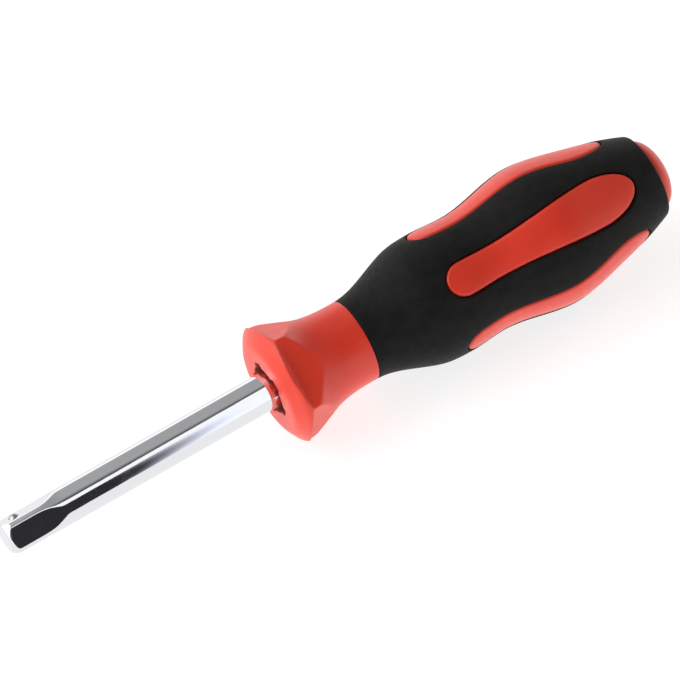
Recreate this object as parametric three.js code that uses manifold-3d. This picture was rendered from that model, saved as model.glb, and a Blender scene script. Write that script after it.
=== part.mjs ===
// A spinner handle for sockets: a chromed shank with a square drive and a sprung ball,
// set in a hard red handle with a soft black grip. All sizes are in millimetres.
// The tool lies along X. The origin is the centre of the drive's end face and the handle
// runs towards +X. Angles round the axis start at +Z and turn towards -Y.

import * as THREE from 'three';
import { mergeVertices } from 'three/addons/utils/BufferGeometryUtils.js';
import Module from 'manifold-3d';

// Drive end
const SQUARE = 6.35;
const SQUARE_LENGTH = 7.7;
const SQUARE_ANGLE = 54;
const SQUARE_CORNER_DIAMETER = 7.9;
const RUNOUT_LENGTH = 4.2;
const TIP_CHAMFER = 1.1;

// Shank and the tang inside the handle
const SHANK_DIAMETER = 7.5;
const SHANK_REACH = 59.6;
const TANG_END_CHAMFER = 1;
const WING_SPAN = 11.4;
const WING_THICKNESS = 3.4;
const WING_LENGTH = 10;
const WING_TAPER = 2;
const WING_SETBACK = 8;

// Detent ball, its hole with a staked lip, and its spring
const BALL_DIAMETER = 2.5;
const BALL_PROUD = 0.55;
const BALL_SETBACK = 3.35;
const BALL_CLEARANCE = 0.08;
const BALL_HOLE_DEPTH = 5.2;
const LIP_DEPTH = 0.3;
const SPRING_WIRE = 0.3;
const SPRING_TURNS = 3.5;
const SPRING_SIDE_GAP = 0.15;
const SPRING_END_GAP = 0.1;

// Collar with five flats sunk behind its front lip, and the flared neck
const SIDES = 5;
const FIRST_SIDE_ANGLE = 36;
const COLLAR_FACE_RADIUS = 9.3;
const COLLAR_LIP_RUN = 2;
const COLLAR_LIP_RADIUS = 12.5;
const COLLAR_LIP_APOTHEM = 12.1;
const COLLAR_CREST_RUN = 3.6;
const COLLAR_CREST_RADIUS = 12.9;
const COLLAR_TO_SLEEVE = 19.8;
const FLAT_RUN = 3.1;
const FLAT_APOTHEM = 10.45;
const FLAT_SHOULDER_LEAN = 31;
const FLAT_DRAFT = 5.3;
const FLARE_LEAVE_RUN = 3.6;
const FLARE_LEAVE_DROP = 0.2;
const FLARE_ARRIVE_RUN = 13.6;
const FLARE_DIP = 0.28;
const NOTCH_WIDTH = 2.2;
const NOTCH_REACH = 1.4;
const NOTCH_DEPTH = 1.5;

// Grip outline: runs between its stations and the radius at each
const NECK_RADIUS = 8.48;
const SHOULDER_RUN = 12.6;
const SHOULDER_RADIUS = 12.15;
const SHOULDER_SLOPE = 0.3;
const SWELL_RUN = 7;
const SWELL_RADIUS = 12.82;
const WAIST_RUN = 7.2;
const WAIST_RADIUS = 12.4;
const BELLY_RUN = 15.6;
const BELLY_RADIUS = 14.66;
const TAIL_RUN = 12.2;
const TAIL_RADIUS = 12.4;
const TAIL_SLOPE = -0.24;
const RIM_RUN = 12.1;
const RIM_RADIUS = 8.52;
const RIM_SLOPE = -0.42;
const DOME_HEIGHT = 3.6;

// Walls, from the soft grip inwards
const NECK_WALL = 1.6;
const GRIP_WALL = 2;
const RIM_WALL = 1;
const BODY_WALL = 2.2;
const CORE_END_WALL = 8;

// Raised panels in the windows of the grip
const PANEL_LEAD = 1.7;
const PANEL_FRONT_LENGTH = 3.7;
const PANEL_FRONT_HALF_WIDTH = 3.4;
const PANEL_WAIST_HALF_WIDTH = 3.2;
const PANEL_WAIST_LAG = 1.7;
const PANEL_REAR_HALF_WIDTH = 4.7;
const PANEL_REAR_LENGTH = 9.1;
const PANEL_REAR_MARGIN = 6;
const PANEL_RECESS = 0.1;
const PANEL_ROOT = 0.6;

// The gap left between pieces that touch on the real tool
const FIT_GAP = 0.3;

// Facets
const AROUND = 40;
const AROUND_BALL = 16;
const STATION_STEPS = 4;
const HIDDEN_STEPS = 2;
const FLARE_STEPS = 7;
const DOME_STEPS = 5;
const END_STEPS = 10;
const SIDE_STEPS = 8;
const CURL_STEPS = 8;
const WIRE_SIDES = 5;
const MERGE_DISTANCE = 1e-5;

const shankRadius = SHANK_DIAMETER / 2;
const ballRadius = BALL_DIAMETER / 2;
const ballAngle = SQUARE_ANGLE - 90;
const flareAt = SHANK_REACH + COLLAR_CREST_RUN;
const sleeveAt = SHANK_REACH + COLLAR_TO_SLEEVE;

// Each station of the grip: where it is, its radius, the outline's slope and the grip's wall
const neck = { at: sleeveAt, radius: NECK_RADIUS, slope: 0, wall: NECK_WALL };
const shoulder = {
  at: neck.at + SHOULDER_RUN,
  radius: SHOULDER_RADIUS,
  slope: SHOULDER_SLOPE,
  wall: GRIP_WALL,
};
const swell = { at: shoulder.at + SWELL_RUN, radius: SWELL_RADIUS, slope: 0, wall: GRIP_WALL };
const waist = { at: swell.at + WAIST_RUN, radius: WAIST_RADIUS, slope: 0, wall: GRIP_WALL };
const belly = { at: waist.at + BELLY_RUN, radius: BELLY_RADIUS, slope: 0, wall: GRIP_WALL };
const tail = { at: belly.at + TAIL_RUN, radius: TAIL_RADIUS, slope: TAIL_SLOPE, wall: GRIP_WALL };
const rim = { at: tail.at + RIM_RUN, radius: RIM_RADIUS, slope: RIM_SLOPE, wall: RIM_WALL };
const stations = [neck, shoulder, swell, waist, belly, tail, rim];
const tangEnd = tail.at - CORE_END_WALL;

const wasm = await Module();
wasm.setup();

// A closed solid from a geometry, with its shared corners merged and slivers at the axis left out
function solidOf(geometry) {
  const bare = geometry.clone();
  bare.deleteAttribute('normal');
  bare.deleteAttribute('uv');
  const merged = mergeVertices(bare, MERGE_DISTANCE);
  const corners = Array.from(merged.index.array);
  const triangles = [];
  for (let i = 0; i < corners.length; i += 3) {
    const [a, b, c] = corners.slice(i, i + 3);
    if (a !== b && b !== c && c !== a) {
      triangles.push(a, b, c);
    }
  }
  return new wasm.Manifold(new wasm.Mesh({
    numProp: 3,
    vertProperties: Float32Array.from(merged.attributes.position.array),
    triVerts: Uint32Array.from(triangles),
  }));
}

function geometryOf(solid) {
  const mesh = solid.getMesh();
  const geometry = new THREE.BufferGeometry();
  geometry.setAttribute('position', new THREE.BufferAttribute(mesh.vertProperties, mesh.numProp));
  geometry.setIndex(new THREE.BufferAttribute(mesh.triVerts, 1));
  geometry.computeVertexNormals();
  return geometry;
}

const radians = THREE.MathUtils.degToRad;

// A solid turned about X from a profile of [along the axis, radius] points
function turned(profile) {
  const points = profile.map(([along, radius]) => new THREE.Vector2(radius, along));
  return solidOf(new THREE.LatheGeometry(points, AROUND).rotateZ(-Math.PI / 2));
}

// The angle of each side of the collar, with a panel of the grip behind it
function sideAngles() {
  return Array.from({ length: SIDES }, (_, k) => FIRST_SIDE_ANGLE + k * 360 / SIDES);
}

// The five copies of a geometry that points along +Z, as one solid
function roundTheSides(geometry) {
  const copies = sideAngles().map((angle) => solidOf(geometry.clone().rotateX(radians(angle))));
  return copies.reduce((all, copy) => all.add(copy));
}

// The cubic through two neighbouring stations
function outlineBetween(a, b, t) {
  const run = b.at - a.at;
  const rise = t * t * (3 - 2 * t);
  const leave = t * (1 - t) * (1 - t) * run * a.slope;
  const arrive = t * t * (t - 1) * run * b.slope;
  return a.radius + (b.radius - a.radius) * rise + leave + arrive;
}

// Points of the grip's outline from one station to another, each with the grip's wall there
function outline(from, to, steps) {
  const first = stations.indexOf(from);
  const last = stations.indexOf(to);
  const points = [];
  for (let s = first; s < last; s += 1) {
    const a = stations[s];
    const b = stations[s + 1];
    for (let i = 0; i < steps; i += 1) {
      const t = i / steps;
      points.push({
        at: THREE.MathUtils.lerp(a.at, b.at, t),
        radius: outlineBetween(a, b, t),
        wall: THREE.MathUtils.lerp(a.wall, b.wall, t),
      });
    }
  }
  points.push(to);
  return points;
}

// The outline moved inwards, past the grip's wall where that is asked for
function inside(points, depth, pastWall) {
  return points.map((p) => [p.at, p.radius - depth - (pastWall ? p.wall : 0)]);
}

// The panel's outline seen along its own radius, larger all round by a margin
function panelShape(margin) {
  const frontMiddle = swell.at - PANEL_LEAD + PANEL_FRONT_LENGTH;
  const waistMiddle = waist.at + PANEL_WAIST_LAG;
  const rearMiddle = rim.at - PANEL_REAR_MARGIN - PANEL_REAR_LENGTH;
  const frontHalf = PANEL_FRONT_HALF_WIDTH + margin;
  const rearHalf = PANEL_REAR_HALF_WIDTH + margin;
  const waistHalf = PANEL_WAIST_HALF_WIDTH + margin;
  const side = [
    new THREE.Vector2(frontMiddle, frontHalf),
    new THREE.Vector2(waistMiddle, waistHalf),
    new THREE.Vector2((waistMiddle + rearMiddle) / 2, (waistHalf + rearHalf) / 2),
    new THREE.Vector2(rearMiddle, rearHalf),
  ];
  const upper = new THREE.SplineCurve(side).getPoints(SIDE_STEPS);
  const lower = upper.map((p) => new THREE.Vector2(p.x, -p.y)).reverse();
  const rearEnd = new THREE.EllipseCurve(
    rearMiddle, 0, PANEL_REAR_LENGTH + margin, rearHalf, Math.PI / 2, -Math.PI / 2, true);
  const frontEnd = new THREE.EllipseCurve(
    frontMiddle, 0, PANEL_FRONT_LENGTH + margin, frontHalf, -Math.PI / 2, -Math.PI * 1.5, true);
  const points = [
    ...upper,
    ...rearEnd.getPoints(END_STEPS).slice(1, -1),
    ...lower,
    ...frontEnd.getPoints(END_STEPS).slice(1, -1),
  ];
  return new THREE.Shape(points);
}

// Five prisms of the panel's outline, reaching from the tang out past the grip
function panelPrisms(margin) {
  const prism = new THREE.ExtrudeGeometry(panelShape(margin), {
    depth: BELLY_RADIUS,
    bevelEnabled: false,
  });
  return roundTheSides(prism.translate(0, 0, shankRadius));
}

// A flat-sided block that cuts one side of the drive square, with its run-out
function squareCutter() {
  const flat = SQUARE / 2;
  const outer = SHANK_DIAMETER;
  const runoutEnd = SQUARE_LENGTH + RUNOUT_LENGTH;
  const shape = new THREE.Shape([
    new THREE.Vector2(-TIP_CHAMFER, flat),
    new THREE.Vector2(SQUARE_LENGTH, flat),
    new THREE.Vector2(runoutEnd, shankRadius),
    new THREE.Vector2(runoutEnd, outer),
    new THREE.Vector2(-TIP_CHAMFER, outer),
  ]);
  const block = new THREE.ExtrudeGeometry(shape, { depth: 2 * outer, bevelEnabled: false });
  return block.translate(0, 0, -outer).rotateX(Math.PI / 2);
}

// The pressed wings of the tang, larger all round by a margin
function wings(margin) {
  const rear = tangEnd - WING_SETBACK + margin;
  const front = rear - WING_LENGTH - 2 * margin;
  const half = WING_SPAN / 2 + margin;
  const root = half - WING_TAPER;
  const thickness = WING_THICKNESS + 2 * margin;
  const shape = new THREE.Shape([
    new THREE.Vector2(front, -root),
    new THREE.Vector2(front + WING_TAPER, -half),
    new THREE.Vector2(rear - WING_TAPER, -half),
    new THREE.Vector2(rear, -root),
    new THREE.Vector2(rear, root),
    new THREE.Vector2(rear - WING_TAPER, half),
    new THREE.Vector2(front + WING_TAPER, half),
    new THREE.Vector2(front, root),
  ]);
  const plate = new THREE.ExtrudeGeometry(shape, { depth: thickness, bevelEnabled: false });
  return solidOf(plate.translate(0, 0, -thickness / 2));
}

// Turns a geometry that stands on local Y to stand on the ball's face of the square
function ontoBallFace(geometry) {
  return geometry.rotateX(radians(90 + ballAngle)).translate(BALL_SETBACK, 0, 0);
}

// Heights along the ball's hole, measured out from the shank's axis
const faceHeight = SQUARE / 2;
const holeFloor = faceHeight - BALL_HOLE_DEPTH;
const ballMiddle = faceHeight + BALL_PROUD - ballRadius;
const holeRadius = ballRadius + BALL_CLEARANCE;

function ballHole() {
  const mouth = Math.sqrt(ballRadius ** 2 - (faceHeight - ballMiddle) ** 2) + BALL_CLEARANCE;
  const profile = [
    new THREE.Vector2(0, holeFloor),
    new THREE.Vector2(holeRadius, holeFloor),
    new THREE.Vector2(holeRadius, faceHeight - LIP_DEPTH),
    new THREE.Vector2(mouth, faceHeight),
    new THREE.Vector2(mouth, faceHeight + ballRadius),
    new THREE.Vector2(0, faceHeight + ballRadius),
  ];
  return solidOf(ontoBallFace(new THREE.LatheGeometry(profile, AROUND_BALL)));
}

function driveShank() {
  const cornerRadius = SQUARE_CORNER_DIAMETER / 2;
  let bar = turned([
    [0, 0],
    [0, cornerRadius - TIP_CHAMFER],
    [TIP_CHAMFER, cornerRadius],
    [SQUARE_LENGTH, cornerRadius],
    [SQUARE_LENGTH + RUNOUT_LENGTH, shankRadius],
    [tangEnd - TANG_END_CHAMFER, shankRadius],
    [tangEnd, shankRadius - TANG_END_CHAMFER],
    [tangEnd, 0],
  ]);
  for (let face = 0; face < 4; face += 1) {
    bar = bar.subtract(solidOf(squareCutter().rotateX(radians(SQUARE_ANGLE + face * 90))));
  }
  return geometryOf(bar.add(wings(0)).subtract(ballHole()));
}

function detentBall() {
  const ball = new THREE.SphereGeometry(ballRadius, AROUND_BALL, AROUND_BALL / 2);
  return ontoBallFace(ball.translate(0, ballMiddle, 0));
}

// The middle line of the spring's wire, climbing local Y
class Coil extends THREE.Curve {
  constructor(radius, low, high) {
    super();
    this.radius = radius;
    this.low = low;
    this.high = high;
  }

  getPoint(t, target = new THREE.Vector3()) {
    const turn = 2 * Math.PI * SPRING_TURNS * t;
    const height = THREE.MathUtils.lerp(this.low, this.high, t);
    return target.set(this.radius * Math.cos(turn), height, this.radius * Math.sin(turn));
  }
}

// The least gap between points of the wire that lie more than half a turn apart
function leastCoilGap(coil) {
  const points = coil.getPoints(SPRING_TURNS * CURL_STEPS * 4);
  const halfTurn = CURL_STEPS * 2;
  let least = Infinity;
  for (let i = 0; i < points.length; i += 1) {
    for (let j = i + halfTurn; j < points.length; j += 1) {
      least = Math.min(least, points[i].distanceTo(points[j]));
    }
  }
  return least - SPRING_WIRE;
}

function detentSpring() {
  const wire = SPRING_WIRE / 2;
  const low = holeFloor + SPRING_END_GAP + wire;
  const high = ballMiddle - ballRadius - SPRING_END_GAP - wire;
  const coil = new Coil(holeRadius - SPRING_SIDE_GAP - wire, low, high);
  const round = new THREE.EllipseCurve(0, 0, wire, wire).getPoints(WIRE_SIDES);
  const section = new THREE.Shape(round.slice(0, -1));
  console.log(`detent spring: least gap between turns ${leastCoilGap(coil).toFixed(2)} mm`);
  const tube = new THREE.ExtrudeGeometry(section, {
    steps: SPRING_TURNS * CURL_STEPS,
    extrudePath: coil,
    bevelEnabled: false,
  });
  return ontoBallFace(tube);
}

function innerCore() {
  const skin = inside(outline(shoulder, tail, HIDDEN_STEPS), BODY_WALL + 2 * FIT_GAP, true);
  const front = shoulder.at + FIT_GAP;
  const rear = tail.at - FIT_GAP;
  skin[0][0] = front;
  skin[skin.length - 1][0] = rear;
  const core = turned([[front, 0], ...skin, [rear, 0]]);
  const boreRadius = shankRadius + FIT_GAP;
  const boreEnd = tangEnd + FIT_GAP;
  const bore = turned([[flareAt, 0], [flareAt, boreRadius], [boreEnd, boreRadius], [boreEnd, 0]]);
  return geometryOf(core.subtract(bore).subtract(wings(FIT_GAP)));
}

// The red body turned in one piece: core's hollow, bore, collar, neck, grip seat and butt dome
function turnedBody() {
  const hollow = inside(outline(shoulder, tail, HIDDEN_STEPS), BODY_WALL + FIT_GAP, true).reverse();
  const boreRadius = shankRadius + FIT_GAP;
  const flare = new THREE.CubicBezierCurve(
    new THREE.Vector2(flareAt, COLLAR_CREST_RADIUS),
    new THREE.Vector2(flareAt + FLARE_LEAVE_RUN, COLLAR_CREST_RADIUS - FLARE_LEAVE_DROP),
    new THREE.Vector2(sleeveAt - FLARE_ARRIVE_RUN, NECK_RADIUS - FLARE_DIP),
    new THREE.Vector2(sleeveAt, NECK_RADIUS));
  const seat = inside(outline(neck, rim, HIDDEN_STEPS), FIT_GAP, true);
  const domeFoot = RIM_RADIUS - RIM_WALL - FIT_GAP;
  const dome = new THREE.EllipseCurve(rim.at, 0, DOME_HEIGHT, domeFoot, Math.PI / 2, 0, true);
  return turned([
    [tail.at, 0],
    ...hollow,
    [shoulder.at, boreRadius],
    [SHANK_REACH, boreRadius],
    [SHANK_REACH, COLLAR_FACE_RADIUS],
    [SHANK_REACH + COLLAR_LIP_RUN, COLLAR_LIP_RADIUS],
    ...flare.getPoints(FLARE_STEPS).map((p) => [p.x, p.y]),
    ...seat,
    ...dome.getPoints(DOME_STEPS).slice(1, -1).map((p) => [p.x, p.y]),
    [rim.at + DOME_HEIGHT, 0],
  ]);
}

// Five blocks that cut the flats, each with a leaning shoulder in front and a little fall to the rear.
// In front of the shoulder they take a little off the lip too, so that the tool can't roll.
function collarCutters() {
  const flatAt = SHANK_REACH + FLAT_RUN;
  const flatFall = (sleeveAt - flatAt) * Math.tan(radians(FLAT_DRAFT));
  const outer = 2 * COLLAR_CREST_RADIUS;
  const shoulderLean = (COLLAR_LIP_APOTHEM - FLAT_APOTHEM) * Math.tan(radians(FLAT_SHOULDER_LEAN));
  const clearOfFace = SHANK_REACH - COLLAR_LIP_RUN;
  const shape = new THREE.Shape([
    new THREE.Vector2(flatAt, FLAT_APOTHEM),
    new THREE.Vector2(sleeveAt, FLAT_APOTHEM - flatFall),
    new THREE.Vector2(sleeveAt, outer),
    new THREE.Vector2(clearOfFace, outer),
    new THREE.Vector2(clearOfFace, COLLAR_LIP_APOTHEM),
    new THREE.Vector2(flatAt - shoulderLean, COLLAR_LIP_APOTHEM),
  ]);
  const block = new THREE.ExtrudeGeometry(shape, { depth: 2 * outer, bevelEnabled: false });
  return roundTheSides(block.translate(0, 0, -outer).rotateX(Math.PI / 2));
}

// Shallow notches in the collar's front, round the shank
function collarNotches() {
  const reach = shankRadius + FIT_GAP + NOTCH_REACH;
  const block = new THREE.BoxGeometry(2 * NOTCH_DEPTH, NOTCH_WIDTH, reach);
  return roundTheSides(block.translate(SHANK_REACH, 0, reach / 2));
}

// The raised panels: a ring just under the grip's surface, kept inside the panel prisms
function raisedPanels() {
  const top = inside(outline(shoulder, rim, STATION_STEPS), PANEL_RECESS, false);
  const root = inside(outline(shoulder, rim, HIDDEN_STEPS), FIT_GAP + PANEL_ROOT, true).reverse();
  return turned([...top, ...root, top[0]]).intersect(panelPrisms(0));
}

function handleBody() {
  const shaped = turnedBody().subtract(collarCutters()).subtract(collarNotches());
  return geometryOf(shaped.add(raisedPanels()));
}

function gripSleeve() {
  const outer = inside(outline(neck, rim, STATION_STEPS), 0, false);
  const inner = inside(outline(neck, rim, HIDDEN_STEPS), 0, true);
  outer[0][0] += FIT_GAP;
  inner[0][0] += FIT_GAP;
  const shell = turned([...outer, ...inner.reverse(), outer[0]]);
  return geometryOf(shell.subtract(panelPrisms(FIT_GAP)));
}

function chrome() {
  return new THREE.MeshStandardMaterial({ color: 0xd9dbde, roughness: 0.12, metalness: 1 });
}

function hardenedSteel() {
  return new THREE.MeshStandardMaterial({ color: 0x9a9a9c, roughness: 0.2, metalness: 1 });
}

function springSteel() {
  return new THREE.MeshStandardMaterial({ color: 0x77777a, roughness: 0.35, metalness: 1 });
}

function corePlastic() {
  return new THREE.MeshStandardMaterial({ color: 0x8f2a20, roughness: 0.5, metalness: 0 });
}

function redPlastic() {
  return new THREE.MeshStandardMaterial({ color: 0xcf3f2d, roughness: 0.4, metalness: 0 });
}

function blackRubber() {
  return new THREE.MeshStandardMaterial({ color: 0x211f1f, roughness: 0.6, metalness: 0 });
}

function piece(name, geometry, material) {
  const mesh = new THREE.Mesh(geometry, material);
  mesh.name = name;
  return mesh;
}

const spinnerHandle = new THREE.Group();
spinnerHandle.add(
  piece('drive_shank', driveShank(), chrome()),
  piece('detent_ball', detentBall(), hardenedSteel()),
  piece('detent_spring', detentSpring(), springSteel()),
  piece('inner_core', innerCore(), corePlastic()),
  piece('handle_body', handleBody(), redPlastic()),
  piece('grip_sleeve', gripSleeve(), blackRubber()),
);

export default spinnerHandle;
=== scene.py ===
# %% [markdown]
# # Dressing a spinner handle
# The real tool is a chromed steel bar with a small square at its tip, held in a hard red handle with a
# soft black grip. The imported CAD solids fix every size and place. In this lesson we rebuild their skins
# finer, round their edges, and give each piece the finish of the real one.

# %% Load the frame
import math

import bmesh
import bpy
import numpy as np
from mathutils import Matrix, Vector


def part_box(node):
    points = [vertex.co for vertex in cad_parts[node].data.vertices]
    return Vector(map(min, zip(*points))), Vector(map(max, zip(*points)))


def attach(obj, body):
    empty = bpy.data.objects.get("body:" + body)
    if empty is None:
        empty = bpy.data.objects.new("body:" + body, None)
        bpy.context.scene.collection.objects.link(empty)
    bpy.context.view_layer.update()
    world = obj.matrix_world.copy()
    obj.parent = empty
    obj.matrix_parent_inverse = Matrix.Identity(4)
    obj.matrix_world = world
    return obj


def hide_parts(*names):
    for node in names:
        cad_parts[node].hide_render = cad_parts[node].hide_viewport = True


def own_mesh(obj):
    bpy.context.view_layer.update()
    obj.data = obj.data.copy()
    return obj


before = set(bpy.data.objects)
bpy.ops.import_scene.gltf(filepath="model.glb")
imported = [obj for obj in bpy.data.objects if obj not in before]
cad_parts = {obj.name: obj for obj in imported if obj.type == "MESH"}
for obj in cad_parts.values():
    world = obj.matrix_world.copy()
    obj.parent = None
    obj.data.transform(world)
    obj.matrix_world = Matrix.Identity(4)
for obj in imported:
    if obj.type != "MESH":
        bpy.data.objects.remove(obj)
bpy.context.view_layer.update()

MM = 0.001

# %% [markdown]
# ## The camera
# A product picture of a long tool is taken from far away with a long lens, so that near and far ends keep
# the same scale. We could turn the camera by hand until it fits, but three angles say it better: how far
# round the tool we look, how much its tip leans towards us, and how steeply its axis climbs in the picture.

# %% Camera
VIEW_ROUND = math.radians(36)
TIP_LEAN = math.radians(15)
AXIS_RISE = math.radians(29.61)
PICTURE_WIDTH = 0.1303
CAMERA_DISTANCE = 2.5
AIM = Vector((0.07673, 0.00124, 0.00090))

tool_axis = Vector((1, 0, 0))
viewed_side = Vector((0, -math.sin(VIEW_ROUND), math.cos(VIEW_ROUND)))
below_axis = Vector((0, -math.cos(VIEW_ROUND), -math.sin(VIEW_ROUND)))
to_camera = viewed_side * math.cos(TIP_LEAN) - tool_axis * math.sin(TIP_LEAN)
along_picture = tool_axis * math.cos(TIP_LEAN) + viewed_side * math.sin(TIP_LEAN)
picture_right = along_picture * math.cos(AXIS_RISE) + below_axis * math.sin(AXIS_RISE)
picture_up = along_picture * math.sin(AXIS_RISE) - below_axis * math.cos(AXIS_RISE)

camera = bpy.data.objects.new("camera", bpy.data.cameras.new("camera"))
bpy.context.scene.collection.objects.link(camera)
turned = Matrix((picture_right, picture_up, to_camera)).transposed().to_4x4()
camera.matrix_world = Matrix.Translation(AIM + to_camera * CAMERA_DISTANCE) @ turned
camera.data.lens = camera.data.sensor_width * CAMERA_DISTANCE / PICTURE_WIDTH
bpy.context.scene.camera = camera
bpy.context.scene.view_settings.view_transform = "Standard"
print("camera stands at", [round(c, 3) for c in camera.location], "lens", round(camera.data.lens), "mm")

# %% [markdown]
# ## Finishes
# Every finish here is a Principled shader fed by noise patterns. The patterns read Object coordinates, so
# they stick to the piece in metres and have a real grain size. Small helpers make a pattern, spread it over
# a range of values, mix two colours by it or turn it into a bump, so that each finish stays a few lines
# long.

# %% Helpers for finishes
NOISE_LOW, NOISE_HIGH = 0.3, 0.7


def new_finish(name):
    """A new material with its tree and its Principled shader."""
    material = bpy.data.materials.new(name)
    material.use_nodes = True
    return material, material.node_tree, material.node_tree.nodes["Principled BSDF"]


def join(tree, *pairs):
    """Links nodes by pairs of an output and an input."""
    for source, target in pairs:
        tree.links.new(source, target)


def pattern(tree, grains_per_metre, stretch=(1, 1, 1), detail=2.0):
    """A noise value that stays on the piece, stretched by a scale for each axis."""
    place = tree.nodes.new("ShaderNodeTexCoord")
    mapping = tree.nodes.new("ShaderNodeMapping")
    mapping.inputs["Scale"].default_value = stretch
    noise = tree.nodes.new("ShaderNodeTexNoise")
    noise.inputs["Scale"].default_value = grains_per_metre
    noise.inputs["Detail"].default_value = detail
    join(tree, (place.outputs["Object"], mapping.inputs["Vector"]),
         (mapping.outputs["Vector"], noise.inputs["Vector"]))
    return noise.outputs[0]


def spread(tree, value, low, high):
    """The middle of a noise value, spread from low to high."""
    node = tree.nodes.new("ShaderNodeMapRange")
    node.inputs["From Min"].default_value = NOISE_LOW
    node.inputs["From Max"].default_value = NOISE_HIGH
    node.inputs["To Min"].default_value = low
    node.inputs["To Max"].default_value = high
    tree.links.new(value, node.inputs["Value"])
    return node.outputs["Result"]


def tint(tree, value, first, second):
    """A colour between two, chosen by a value. Each is a colour or a socket that gives one."""
    node = tree.nodes.new("ShaderNodeMix")
    node.data_type = "RGBA"
    sockets = [socket for socket in node.inputs if socket.type == "RGBA"]
    for socket, colour in zip(sockets, (first, second)):
        if isinstance(colour, bpy.types.NodeSocket):
            tree.links.new(colour, socket)
        else:
            socket.default_value = (*colour, 1)
    tree.links.new(value, node.inputs["Factor"])
    return next(socket for socket in node.outputs if socket.type == "RGBA")


def bump(tree, height, depth, strength, below=None):
    """A bump of a depth in metres, laid over another bump if one is given."""
    node = tree.nodes.new("ShaderNodeBump")
    node.inputs["Strength"].default_value = strength
    node.inputs["Distance"].default_value = depth
    tree.links.new(height, node.inputs["Height"])
    if below is not None:
        tree.links.new(below, node.inputs["Normal"])
    return node.outputs["Normal"]


print("of each noise, the part from", NOISE_LOW, "to", NOISE_HIGH, "is used")

# %% [markdown]
# ## Hard red plastic
# The handle is moulded in a satin red. Close up, the steel mould leaves a fine spark grain a sixth of a
# millimetre across, and the pigment clouds a little. Two noises make these: a fine one for the bump and a
# slow one for the colour. A third makes some patches a bit shinier, as after handling. The tool's other
# plastics differ only in numbers, so one function makes them all.

# %% Red plastic
def plastic(name, colours, clouds, detail, patches, roughness, grains, depth, strength, shine):
    """A plastic with clouds of colour, patches of roughness and a grain of a depth, in grains per metre."""
    material, tree, shader = new_finish(name)
    cloudy = spread(tree, pattern(tree, clouds, detail=detail), 0, 1)
    join(tree, (tint(tree, cloudy, *colours), shader.inputs["Base Color"]),
         (spread(tree, pattern(tree, patches), *roughness), shader.inputs["Roughness"]),
         (bump(tree, pattern(tree, grains), depth, strength), shader.inputs["Normal"]))
    for label, value in shine.items():
        shader.inputs[label].default_value = value
    return material


RED = {
    "colours": ((0.70, 0.033, 0.011), (0.78, 0.040, 0.014)), "clouds": 140, "detail": 3,
    "patches": 700, "roughness": (0.36, 0.46), "grains": 6000, "depth": 0.00002, "strength": 0.25,
    "shine": {"Sheen Weight": 0.13, "Sheen Roughness": 0.4}}

red = plastic("moulded_red", **RED)
print("finish:", red.name)

# %% [markdown]
# ## Soft black grip
# The grip is a rubbery plastic moulded over the red one. It is matt and nearly black, with a finer grain
# than the red, and dull grey dust shows where it is rough. A low specular level keeps the white studio out
# of it, and a thin sheen gives the dusty edge that soft plastics have.

# %% Black rubber
BLACK = {
    "colours": ((0.0058, 0.0053, 0.0050), (0.0110, 0.0102, 0.0096)), "clouds": 420, "detail": 4,
    "patches": 1500, "roughness": (0.56, 0.68), "grains": 9000, "depth": 0.00002, "strength": 0.35,
    "shine": {"Specular IOR Level": 0.12, "Sheen Weight": 0.02, "Sheen Roughness": 0.5}}

rubber = plastic("soft_black", **BLACK)
print("finish:", rubber.name)

# %% [markdown]
# ## Bright chrome and plain steel
# The bar is ground round, then plated. Chrome shows the room like a mirror, so what it needs is a mirror's
# faults: a slow waviness from grinding that bends the reflected edges, and fine scratches along the bar.
# The ball and the spring are bare steel, darker and a little rougher.

# %% Chrome and steel
CHROME = (0.80, 0.81, 0.83)
BALL_STEEL = (0.42, 0.41, 0.41)
SPRING_STEEL = (0.36, 0.36, 0.37)
SMEARS, WAVES, LINES = 260, 130, 5000
ALONG_THE_BAR = (0.03, 1, 1)
WAVE_DEPTH, WAVE_STRENGTH = 0.00002, 0.25
LINE_DEPTH = 0.000006


def metal(name, colour, roughest, scratch):
    """A metal of a colour, its greatest roughness and the strength of its fine lines."""
    material, tree, shader = new_finish(name)
    shader.inputs["Base Color"].default_value = (*colour, 1)
    shader.inputs["Metallic"].default_value = 1
    smears = spread(tree, pattern(tree, SMEARS, detail=3), roughest / 2, roughest)
    tree.links.new(smears, shader.inputs["Roughness"])
    wavy = bump(tree, pattern(tree, WAVES, detail=1), WAVE_DEPTH, WAVE_STRENGTH)
    lines = bump(tree, pattern(tree, LINES, ALONG_THE_BAR), LINE_DEPTH, scratch, wavy)
    tree.links.new(lines, shader.inputs["Normal"])
    return material


chrome = metal("bright_chrome", CHROME, 0.09, 0.4)
ball_steel = metal("hardened_steel", BALL_STEEL, 0.24, 0.2)
spring_steel = metal("spring_wire", SPRING_STEEL, 0.4, 0.4)
print("finishes:", chrome.name, ball_steel.name, spring_steel.name)

# %% [markdown]
# ## Sheets of points
# The handle is round, so a place on it is a distance along the axis, an angle and a radius. We work those
# out as whole arrays, lay them down as sheets of four-sided faces, and weld the sheets where they meet.
# This gives even faces and exact curves, which a cut with booleans would not.

# %% Helpers for meshes
WELD = 2e-6
SHARP = math.radians(42)


def round_axis(along, angle, radius):
    """Points in metres. Angles start at +Z and turn towards -Y; lengths are in millimetres."""
    along, angle, radius = np.broadcast_arrays(along, angle, radius)
    return np.stack([along, -radius * np.sin(angle), radius * np.cos(angle)], axis=-1) * MM


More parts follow.
